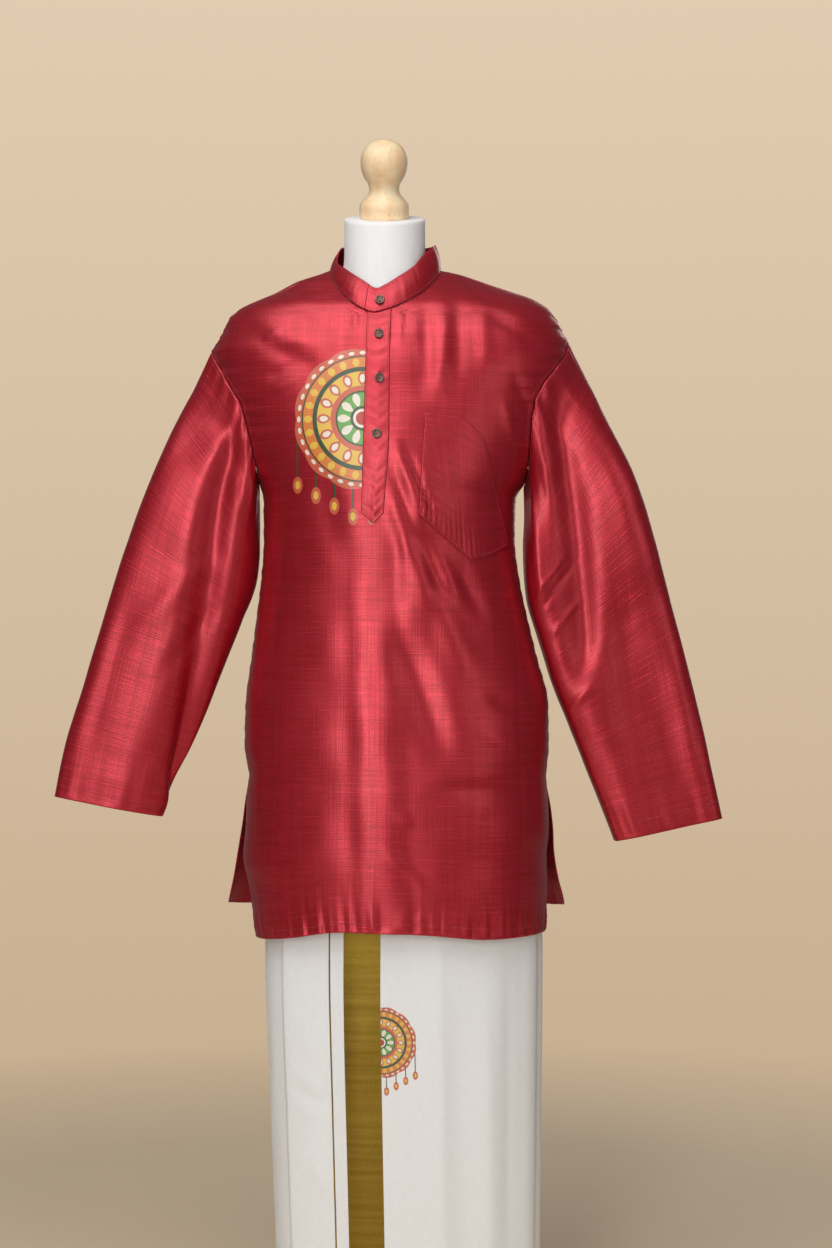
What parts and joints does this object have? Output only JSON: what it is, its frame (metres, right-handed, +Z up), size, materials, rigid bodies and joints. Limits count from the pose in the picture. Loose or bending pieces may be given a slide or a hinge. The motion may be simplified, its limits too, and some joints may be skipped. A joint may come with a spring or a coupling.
{
  "type": "kurta set on dress form",
  "caption": "Long-sleeved silk kurta with stand collar, placket and chest pocket over a wrapped white mundu, on a limbless dress form with a round base.",
  "frame": {"origin": "on the floor, at the centre of the round base's underside", "axes": "+Z up, the garment faces -Y, +X towards the wearer's left"},
  "size_m": [0.9044, 0.38, 1.6435],
  "materials": {
    "silk": "soft sheen, slubbed",
    "cotton": "plain weave with a gold band",
    "jersey": "smooth knit",
    "beech": "turned, satin",
    "steel": "satin grey",
    "shell": "pearly"
  },
  "bodies": {
    "root": {"kurta_front": "silk", "kurta_back": "silk", "sleeve_left": "silk", "sleeve_right": "silk", "collar": "silk", "placket": "silk", "chest_pocket": "silk", "mundu": "cotton", "button_1_collar": "shell", "button_2": "shell", "button_3": "shell", "button_4": "shell", "form_torso": "jersey", "form_knob": "beech", "form_pole": "steel", "form_base": "steel"}
  },
  "joints": []
}
